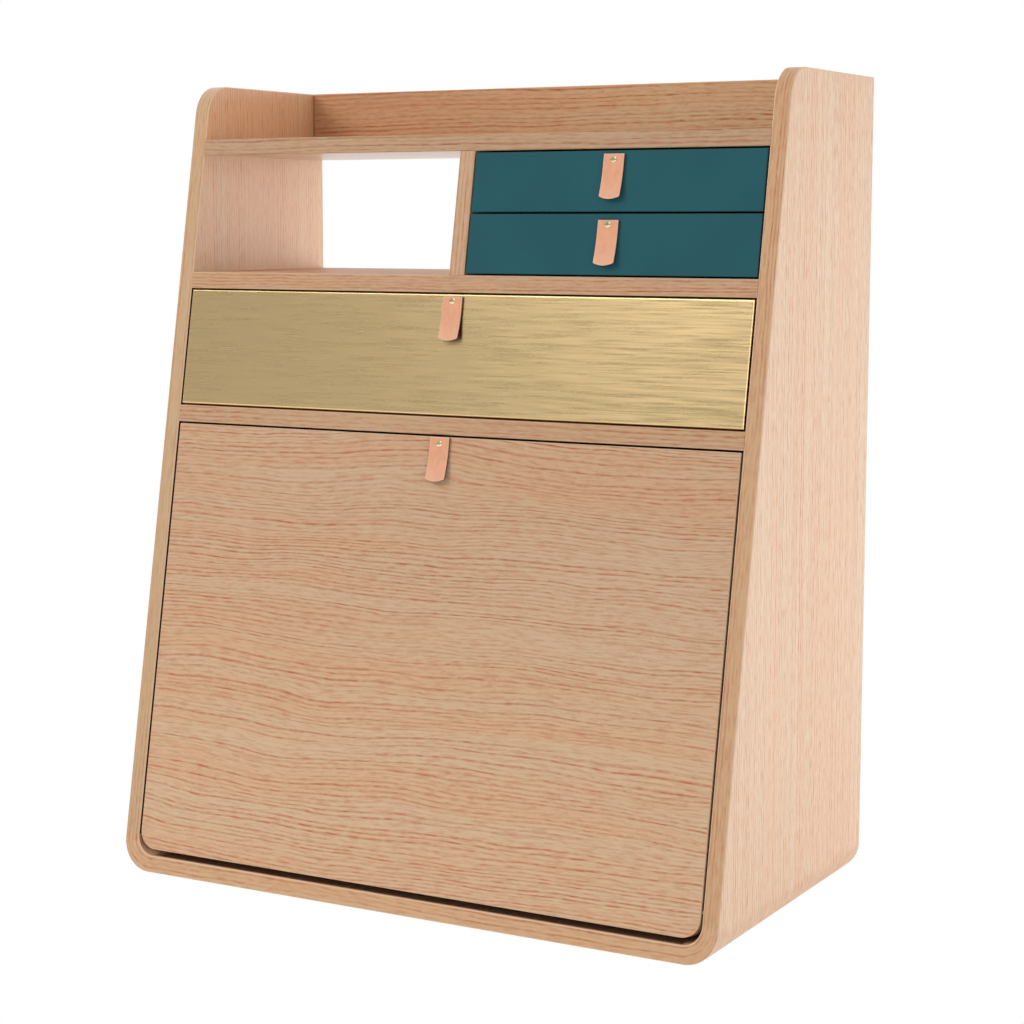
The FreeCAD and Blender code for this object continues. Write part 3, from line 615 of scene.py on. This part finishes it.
def board_fade(finish, piece):
    """Factor and both tints of a board whose tint changes along it, or None."""
    # Painted light and shade: a warmer inner face in the tray than in the niche
    if piece == "left_side":
        low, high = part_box("top_shelf")
        above = finish.ramp(finish.axes[Z], low.z, high.z)
        return (finish.times(above, inner_face(finish, piece)), *LEFT_SIDE_PAINTED_LIGHT_TINTS)
    # Painted shade: darker towards the rail's left end
    if piece == "top_rail":
        return (finish.ramp(finish.axes[X], *RAIL_FADE), *RAIL_PAINTED_SHADE_TINTS)
    if piece == "flap_panel":
        return (finish.ramp(finish.axes[Z], *FLAP_FADE), *FLAP_TINTS)
    return None


def oak_boards():
    """One oak for each board."""
    made = {}
    for piece, board in BOARDS.items():
        finish = Finish("oak_" + piece)
        gap_shade = painted_gap_shade(finish, piece) if piece.endswith("side") else None
        made[piece] = oak(finish, board_axes(finish, piece), board, board_fade(finish, piece), gap_shade)
    return made


# Other materials

def plain_wood(name, colour, letters):
    """Close-grained hardwood for what is mostly hidden."""
    finish = Finish(name)
    axes = in_order(finish, letters)
    streaks = finish.noise(axes, WOOD_STREAKS, detail=3.0)
    flecks = finish.noise(axes, WOOD_FLECKS, detail=1.0)
    depth = finish.add(finish.ramp(streaks, *WOOD_STREAK_RAMP), finish.ramp(flecks, *WOOD_FLECK_RAMP))
    finish.set(Base_Color=finish.mix(depth, colour, shaded(colour, WOOD_DARKER_SHARE)))
    finish.set(Roughness=finish.ramp(streaks, *NOISE_RANGE, *WOOD_ROUGHNESS))
    finish.bump(streaks, *WOOD_BUMP)
    return finish.material


def teal_paint():
    """Satin paint on a smooth board, with a faint roller texture."""
    finish = Finish("teal_paint")
    stipple = finish.noise(finish.axes, TEAL_STIPPLE)
    clouds = finish.ramp(finish.noise(finish.axes, TEAL_CLOUDS), *NOISE_RANGE)
    finish.set(Base_Color=finish.mix(clouds, TEAL, shaded(TEAL, TEAL_LIGHTER_SHARE)))
    finish.set(Roughness=finish.ramp(stipple, *NOISE_RANGE, *TEAL_ROUGHNESS))
    finish.set(Specular_IOR_Level=TEAL_SPECULAR)
    finish.bump(stipple, *TEAL_BUMP)
    return finish.material


def brushed_brass():
    """Brass sheet brushed from side to side, with strokes that bite deeper to the right."""
    finish = Finish("brushed_brass")
    x, y, z = finish.axes
    waves = finish.times(finish.noise((x, y, z), BRASS_WAVES), BRASS_WAVE_REACH)
    rise = finish.add(z, waves)
    layers = []
    for rows, count in BRASS_LAYERS:
        row = finish.math("FLOOR", finish.times(rise, rows))
        layer = finish.noise((x, row, y), (count, ROW_STEP, 0.0), detail=0.0)
        layers.append(finish.times(layer, BRASS_LAYER_SHARE))
    strokes = finish.add(*layers)
    clouds = finish.noise((x, y, z), BRASS_CLOUDS)
    bite = finish.ramp(x, *BRASS_BITE_RAMP)
    depth = finish.times(finish.ramp(strokes, *BRASS_STROKE_RAMP), bite)
    depth = finish.add(depth, finish.ramp(clouds, *NOISE_RANGE, 0.0, BRASS_CLOUD_SHARE))
    finish.set(Base_Color=finish.mix(depth, BRASS, shaded(BRASS, BRASS_DARKER_SHARE)))
    finish.set(Metallic=1.0, Anisotropic=BRASS_ANISOTROPY)
    finish.set(Roughness=finish.ramp(strokes, *BRASS_ROUGHNESS_RAMP))
    tangent = finish.node("ShaderNodeTangent", {}, direction_type="RADIAL", axis="X")
    finish.set(Tangent=tangent.outputs[0])
    finish.bump(strokes, *BRASS_BUMP)
    return finish.material


def metal(name, colour, roughness):
    """Turned or rolled fitting with fine scratches and a few dull spots."""
    finish = Finish(name)
    scratches = finish.noise(finish.axes, FITTING_SCRATCHES)
    spots = finish.ramp(finish.noise(finish.axes, FITTING_SPOTS), *FITTING_SPOT_RAMP)
    finish.set(Base_Color=finish.mix(spots, colour, shaded(colour, FITTING_DARKER_SHARE)))
    finish.set(Metallic=1.0)
    dullest = roughness + FITTING_ROUGHNESS_SPREAD
    finish.set(Roughness=finish.ramp(scratches, *NOISE_RANGE, roughness, dullest))
    finish.bump(scratches, *FITTING_BUMP)
    return finish.material


def moulded_plastic():
    """Dark plastic with a fine moulded stipple."""
    finish = Finish("catch_plastic")
    stipple = finish.noise(finish.axes, PLASTIC_STIPPLE)
    finish.set(Base_Color=finish.mix(stipple, PLASTIC, shaded(PLASTIC, PLASTIC_LIGHTER_SHARE)))
    finish.set(Roughness=finish.ramp(stipple, *NOISE_RANGE, *PLASTIC_ROUGHNESS))
    finish.bump(stipple, *PLASTIC_BUMP)
    return finish.material


def leather():
    """Vegetable-tanned strap leather: fine pores; a paler rim and lower end, which are painted highlight;
    dark edges and back, partly burnished and partly painted shade.
    """
    finish = Finish("leather")
    rim = finish.attribute("rim")
    drop = finish.attribute("drop")
    pores = finish.noise(finish.axes, LEATHER_PORES)
    mottle = finish.noise(finish.axes, LEATHER_MOTTLE, detail=3.0)
    darker = shaded(LEATHER, LEATHER_DARKER_SHARE)
    colour = finish.mix(finish.ramp(mottle, *NOISE_RANGE), LEATHER, darker)
    colour = finish.mix(finish.ramp(pores, *LEATHER_PORE_RAMP), colour, darker)
    # Painted highlight: paler towards the lower end and along the outline on the front
    colour = finish.mix(finish.ramp(drop, *LEATHER_DROP_RAMP), colour, LEATHER_PAINTED_HIGHLIGHT)
    colour = finish.mix(finish.ramp(rim, *LEATHER_RIM_RAMP), colour, LEATHER_PAINTED_HIGHLIGHT)
    # Dark edges and back, partly burnished leather and partly painted shade
    colour = finish.mix(finish.ramp(rim, *LEATHER_EDGE_RAMP), colour, LEATHER_EDGE_AND_SHADE)
    finish.set(Base_Color=colour, Specular_IOR_Level=LEATHER_SPECULAR)
    finish.set(Roughness=finish.ramp(mottle, *NOISE_RANGE, *LEATHER_ROUGHNESS))
    finish.bump(pores, *LEATHER_BUMP)
    return finish.material


# Leather tabs and screws, built in the frame of the front that carries them

def front_axes():
    """The leaning front's outward normal and its upward direction."""
    faces = [face for face in nodes["flap_panel"].data.polygons if face.normal.y < 0]
    outward = max(faces, key=lambda face: face.area).normal.normalized()
    return outward, Vector((1, 0, 0)).cross(-outward).normalized()


def placed(origin, outward, upward):
    """Matrix with y along outward and z along upward."""
    rotation = Matrix((outward.cross(upward), outward, upward)).transposed()
    return Matrix.Translation(origin) @ rotation.to_4x4()


def reach_along(node, direction):
    """Least and greatest place of a node's mesh along a direction."""
    places = [vertex.co.dot(direction) for vertex in nodes[node].data.vertices]
    return min(places), max(places)


def seat_of(node):
    """Matrix of a pull, with y outward from the front and z up from the tab's upper edge; and its size."""
    outward, upward = front_axes()
    low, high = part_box(node)
    foot, head = reach_along(node, upward)
    depth = reach_along(node, outward)[0]
    origin = Vector(((low.x + high.x) / 2, 0, 0)) + upward * head + outward * depth
    return placed(origin, outward, upward), high.x - low.x, head - foot


def screw_drop(body):
    """How far below its tab's upper edge a pull's screw sits."""
    upward = front_axes()[1]
    head = reach_along(body + "_pull", upward)[1]
    return head - sum(reach_along(body + "_pull_screw", upward)) / 2


def mesh_object(name, work, material, smooth=True):
    """Object made of a bmesh, which is freed."""
    mesh = bpy.data.meshes.new(name)
    work.to_mesh(mesh)
    work.free()
    mesh.materials.append(material)
    for face in mesh.polygons:
        face.use_smooth = smooth
    made = bpy.data.objects.new(name, mesh)
    bpy.context.scene.collection.objects.link(made)
    return made


def tab_rows(length):
    """Distances down a tab at which its grid has rows, closer at both ends."""
    inside = length - 2 * TAB_END_ROW
    inner = [TAB_END_ROW + inside * step / TAB_STEPS for step in range(TAB_STEPS + 1)]
    return [0.0] + inner + [length]


def grid_faces(work, front, back):
    """Faces of a tab's front and back, each a grid of vertices."""
    for i in range(len(front) - 1):
        for j in range(len(front[i]) - 1):
            work.faces.new((front[i][j], front[i + 1][j], front[i + 1][j + 1], front[i][j + 1]))
            work.faces.new((back[i][j], back[i][j + 1], back[i + 1][j + 1], back[i + 1][j]))


def grid_outline(last_row, last_column):
    """Places in a grid, row and column, once round its outline."""
    loop = [(0, j) for j in range(last_column)] + [(i, last_column) for i in range(last_row)]
    loop += [(last_row, j) for j in range(last_column, 0, -1)] + [(i, 0) for i in range(last_row, 0, -1)]
    return loop


def leather_tab(body, material):
    """Strap tab: flat under its screw, then curving away from the front to a rounded end."""
    matrix, width, length = seat_of(body + "_pull")
    screw_down = screw_drop(body)
    reach = length - TAB_FLAT
    bow = (reach ** 2 + TAB_STANDOFF ** 2) / (2 * TAB_STANDOFF)
    half = width / 2
    end_radius = (half ** 2 + TAB_END_RISE ** 2) / (2 * TAB_END_RISE)
    columns = [-share for share in reversed(TAB_COLUMN_SHARES)] + [0.0, *TAB_COLUMN_SHARES]
    rows = [row / length for row in tab_rows(length)]
    work = bmesh.new()
    rim = work.verts.layers.float.new("rim")
    drop = work.verts.layers.float.new("drop")

    def lift(down):
        """How far the tab's back stands off its front at a distance down from the upper edge."""
        past = max(0.0, down - TAB_FLAT)
        return bow - math.sqrt(bow ** 2 - past ** 2)

    def corner(column, row, on_front):
        """Vertex of the tab's front or back, with rounded edges; the front is dimpled under the screw."""
        across = column * half
        rise = end_radius - math.sqrt(end_radius ** 2 - across ** 2)
        down = row * (length - rise)
        edge_gap = min(half - abs(across), down, length - rise - down)
        round_off = max(0.0, TAB_ROUNDING - edge_gap) / TAB_ROUNDING
        crown = TAB_ROUNDING * (1 - math.sqrt(max(0.0, 1 - round_off ** 2)))
        screw_gap = math.hypot(across, down - screw_down)
        dimple = TAB_DIMPLE * max(0.0, 1 - screw_gap / TAB_DIMPLE_RADIUS) ** 2
        out = TAB_THICKNESS - crown - dimple if on_front else crown
        vertex = work.verts.new((across, lift(down) + out, -down))
        # The back and sides take the full rim value, so they get the dark colour, partly painted shade
        vertex[rim] = FRONT_RIM * max(0.0, 1 - edge_gap / TAB_RIM) if on_front else 1.0
        vertex[drop] = row
        return vertex

    front = [[corner(column, row, True) for column in columns] for row in rows]
    back = [[corner(column, row, False) for column in columns] for row in rows]
    grid_faces(work, front, back)
    loop = grid_outline(len(rows) - 1, len(columns) - 1)
    middle = {}
    for i, j in loop:
        middle[i, j] = work.verts.new((front[i][j].co + back[i][j].co) / 2)
        middle[i, j][rim] = 1.0
        middle[i, j][drop] = rows[i]
    for here, there in zip(loop, loop[1:] + loop[:1]):
        front_here, front_there = front[here[0]][here[1]], front[there[0]][there[1]]
        back_here, back_there = back[here[0]][here[1]], back[there[0]][there[1]]
        work.faces.new((front_here, front_there, middle[there], middle[here]))
        work.faces.new((middle[here], middle[there], back_there, back_here))
    work.transform(matrix)
    bmesh.ops.recalc_face_normals(work, faces=work.faces)
    tab = mesh_object(body + "_leather_tab", work, material)
    smoothing = tab.modifiers.new("smoothing", "SUBSURF")
    smoothing.levels = smoothing.render_levels = 1
    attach(tab, body)
    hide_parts(body + "_pull")


def dome(radius, height, shank):
    """Round screw head on its shank, about +Y, seated at the origin."""
    work = bmesh.new()
    shank_radius = SCREW_SHANK_SHARE * radius
    edge = SCREW_EDGE_SHARE
    profile = [(shank_radius, -shank), (shank_radius, 0.0), (radius, 0.0), (radius, edge * height)]
    for ring in range(1, SCREW_RINGS):
        angle = ring / SCREW_RINGS * math.pi / 2
        profile.append((radius * math.cos(angle), height * (edge + (1 - edge) * math.sin(angle))))
    turns = [2 * math.pi * step / SCREW_SIDES for step in range(SCREW_SIDES)]
    loops = []
    for reach, out in profile:
        loops.append([work.verts.new((reach * math.cos(t), out, reach * math.sin(t))) for t in turns])
    tip = work.verts.new((0, height, 0))
    foot = work.verts.new((0, -shank, 0))
    neighbours = [(k, (k + 1) % SCREW_SIDES) for k in range(SCREW_SIDES)]
    for lower, upper in zip(loops, loops[1:]):
        for k, n in neighbours:
            work.faces.new((lower[k], lower[n], upper[n], upper[k]))
    for k, n in neighbours:
        work.faces.new((loops[-1][k], loops[-1][n], tip))
        work.faces.new((loops[0][n], loops[0][k], foot))
    bmesh.ops.recalc_face_normals(work, faces=work.faces)
    return work


def cut_slot(target, width, depth, height, turn):
    """Cut a straight driver slot across a screw head."""
    work = bmesh.new()
    bmesh.ops.create_cube(work, size=1.0)
    work.transform(Matrix.Diagonal((SLOT_CUT_LENGTH, 2 * depth, width, 1.0)))
    work.transform(Matrix.Translation((0, height, 0)) @ Matrix.Rotation(turn, 4, "Y"))
    cutter = mesh_object("slot_cutter", work, target.data.materials[0], smooth=False)
    cut = target.modifiers.new("slot", "BOOLEAN")
    cut.object = cutter
    cut.operation = "DIFFERENCE"
    cut.solver = "EXACT"
    shaped = bpy.data.meshes.new_from_object(target.evaluated_get(bpy.context.evaluated_depsgraph_get()))
    target.modifiers.remove(cut)
    target.data = shaped
    bpy.data.objects.remove(cutter)


def screw(name, matrix, body, material, radius, height, shank, turn):
    """Slotted round-head brass screw seated at a matrix, along its +Y."""
    made = mesh_object(name, dome(radius, height, shank), material)
    cut_slot(made, SLOT_WIDTH * radius / SCREW_RADIUS, SLOT_DEPTH * radius / SCREW_RADIUS, height, turn)
    made.data.transform(matrix)
    made.data.set_sharp_from_angle(angle=SCREW_SHARP_ANGLE)
    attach(made, body)
    return made


def pulls(leather_material, brass_material):
    """A leather tab and its screw on each front that opens."""
    for body, share in SLOT_TURN_SHARES.items():
        leather_tab(body, leather_material)
        matrix = seat_of(body + "_pull")[0]
        seat = matrix @ Matrix.Translation((0, TAB_THICKNESS - TAB_DIMPLE, -screw_drop(body)))
        made = screw(body + "_tab_screw", seat, body, brass_material,
                     SCREW_RADIUS, SCREW_HEIGHT, SCREW_SHANK, share * SLOT_TURN)
        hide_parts(body + "_pull_screw")


def small_screw(name, matrix, body, material, turn):
    screw(name, matrix, body, material, SMALL_SCREW_RADIUS, SMALL_SCREW_HEIGHT, SMALL_SCREW_SHANK, turn)


def bracket_screws(material):
    """Two screws through the foot of each stay's bracket, into the flap's inner face."""
    outward, upward = front_axes()
    depth = reach_along("flap_panel", outward)[0] - BRACKET_PLATE
    for side in ("left", "right"):
        node = side + "_stay_bracket"
        low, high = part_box(node)
        inner_x = low.x + BRACKET_SCREW_INSET if side == "right" else high.x - BRACKET_SCREW_INSET
        foot, head = reach_along(node, upward)
        for end, step in (("upper", 1), ("lower", -1)):
            rise = (foot + head) / 2 + step * BRACKET_SCREW_RISE
            origin = Vector((inner_x, 0, 0)) + upward * rise + outward * depth
            matrix = placed(origin, -outward, upward)
            name = side + "_bracket_" + end + "_screw"
            small_screw(name, matrix, "flap", material, step * BRACKET_SLOT_TURN)


def catch_screws(material):
    """Two screws up through each catch's housing into the lower shelf."""
    low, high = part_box("flap_catches")
    middle = high.x - CATCH_LENGTH / 2
    depth = (low.y + high.y) / 2
    for side, sign in (("left", -1), ("right", 1)):
        for end, step in (("outer", 1), ("inner", -1)):
            origin = Vector((sign * (middle + step * CATCH_SCREW_REACH), depth, low.z))
            matrix = placed(origin, Vector((0, 0, -1)), Vector((0, 1, 0)))
            name = side + "_catch_" + end + "_screw"
            small_screw(name, matrix, "carcass", material, step * CATCH_SLOT_TURN)


def dress_nodes():
    """Give every CAD node its material, and return the materials that a slot's pieces share."""
    woods = {}
    for slot, colour in (("beech", BEECH), ("drawer_wood", DRAWER_WOOD)):
        for letters in ("XYZ", "YXZ"):
            woods[slot, letters] = plain_wood(slot + "_" + letters, colour, letters)
    by_slot = {
        "teal_paint": teal_paint(),
        "brushed_brass": brushed_brass(),
        "brass_fitting": metal("brass_fitting", BRASS_FITTING, BRASS_FITTING_ROUGHNESS),
        "steel": metal("steel", STEEL, STEEL_ROUGHNESS),
        "catch_plastic": moulded_plastic(),
        "leather": leather(),
    }
    oaks = oak_boards()
    for piece in frame["record"]["subparts"]:
        name = piece["node"]
        slot = piece["material_slot"]
        letters = "YXZ" if name.endswith(DEEP_PIECES) else "XYZ"
        if slot == "oak":
            material = oaks[name]
        elif (slot, letters) in woods:
            material = woods[slot, letters]
        else:
            material = by_slot[slot]
        mesh = nodes[name].data
        mesh.materials.clear()
        mesh.materials.append(material)
    return by_slot


# Stage, light and camera

def floor():
    """Pale floor that reads white and keeps a soft shadow near the object."""
    finish = Finish("floor")
    finish.tree.nodes.remove(finish.shader)
    x, y, z = finish.axes
    pale = finish.mix(finish.noise((x, y, z), FLOOR_SPECKLE), FLOOR_GREY, FLOOR_PALE)
    reach = finish.math("SQRT", finish.add(finish.times(x, x), finish.times(y, y)))
    whiteness = finish.ramp(reach, *FLOOR_FADE, *FLOOR_WHITE_SHARES)
    share = finish.times(finish.ray("Camera", "Glossy", "Transmission"), whiteness)
    matt = finish.node("ShaderNodeBsdfDiffuse", {"Color": pale}).outputs[0]
    white = finish.node("ShaderNodeEmission", {"Color": WHITE, "Strength": 1.0}).outputs[0]
    finish.feed(finish.output.inputs["Surface"], finish.blend(share, matt, white))
    work = bmesh.new()
    bmesh.ops.create_grid(work, x_segments=1, y_segments=1, size=FLOOR_SIZE / 2)
    work.transform(Matrix.Translation((0, 0, cad_box[0].z - FLOOR_DROP)))
    mesh_object("floor", work, finish.material, smooth=False)


def world():
    """White surroundings, greyer at the front left in reflections, and fill light, less from the front."""
    made = bpy.data.worlds.new("studio")
    graph = Graph(made, "ShaderNodeOutputWorld")
    x, y = graph.split(graph.coordinates["Generated"])[:2]

    def background(strength):
        inputs = {"Color": WHITE, "Strength": strength}
        return graph.node("ShaderNodeBackground", inputs).outputs[0]

    away = graph.math("MAXIMUM", graph.ramp(y, *ROOM_TURN_Y), graph.ramp(x, *ROOM_TURN_X))
    mirrored = graph.ramp(away, 0.0, 1.0, ROOM_FRONT, 1.0)
    fill = background(graph.ramp(y, *FILL_TURN, FILL_FRONT, FILL_BACK))
    shown = graph.blend(graph.ray("Glossy", "Transmission"), fill, background(mirrored))
    surface = graph.blend(graph.ray("Camera"), shown, background(1.0))
    graph.feed(graph.output.inputs["Surface"], surface)
    bpy.context.scene.world = made


def soft_light(name, lamp, receivers):
    """Square lamp aimed at a point; it lights everything, or only the receivers where there are any."""
    data = bpy.data.lights.new(name, "AREA")
    data.shape = "SQUARE"
    data.size = lamp.size
    data.energy = lamp.watts
    made = bpy.data.objects.new(name, data)
    made.location = lamp.place
    made.rotation_euler = (lamp.aim - Vector(lamp.place)).to_track_quat("-Z", "Y").to_euler()
    made.visible_camera = False
    made.visible_glossy = lamp.mirrored
    bpy.context.scene.collection.objects.link(made)
    if receivers:
        group = bpy.data.collections.new(name + "_receivers")
        for node in receivers:
            group.objects.link(nodes[node])
        made.light_linking.receiver_collection = group


def lights():
    """Every lamp; one lights only the niche's wall and ceiling boards, and two only the brass face."""
    brass = [piece["node"] for piece in frame["record"]["subparts"]
             if piece["material_slot"] == "brushed_brass"]
    receivers = {"wall_bounce": NICHE_BOARDS, "brass_above": brass, "brass_front": brass}
    for name, lamp in LAMPS.items():
        soft_light(name, lamp, receivers.get(name, ()))


def camera():
    """Camera at the photograph's viewing angle."""
    data = bpy.data.cameras.new("camera")
    data.lens = CAMERA_LENS
    data.sensor_width = CAMERA_SENSOR
    made = bpy.data.objects.new("camera", data)
    made.location = CAMERA_PLACE
    made.rotation_euler = (math.pi / 2 + math.radians(CAMERA_PITCH), 0.0, math.radians(CAMERA_YAW))
    bpy.context.scene.collection.objects.link(made)
    bpy.context.scene.camera = made


camera()
world()
floor()
lights()
finishes = dress_nodes()
pulls(finishes["leather"], finishes["brass_fitting"])
bracket_screws(finishes["brass_fitting"])
catch_screws(finishes["brass_fitting"])
bpy.context.scene.view_settings.view_transform = "Standard"
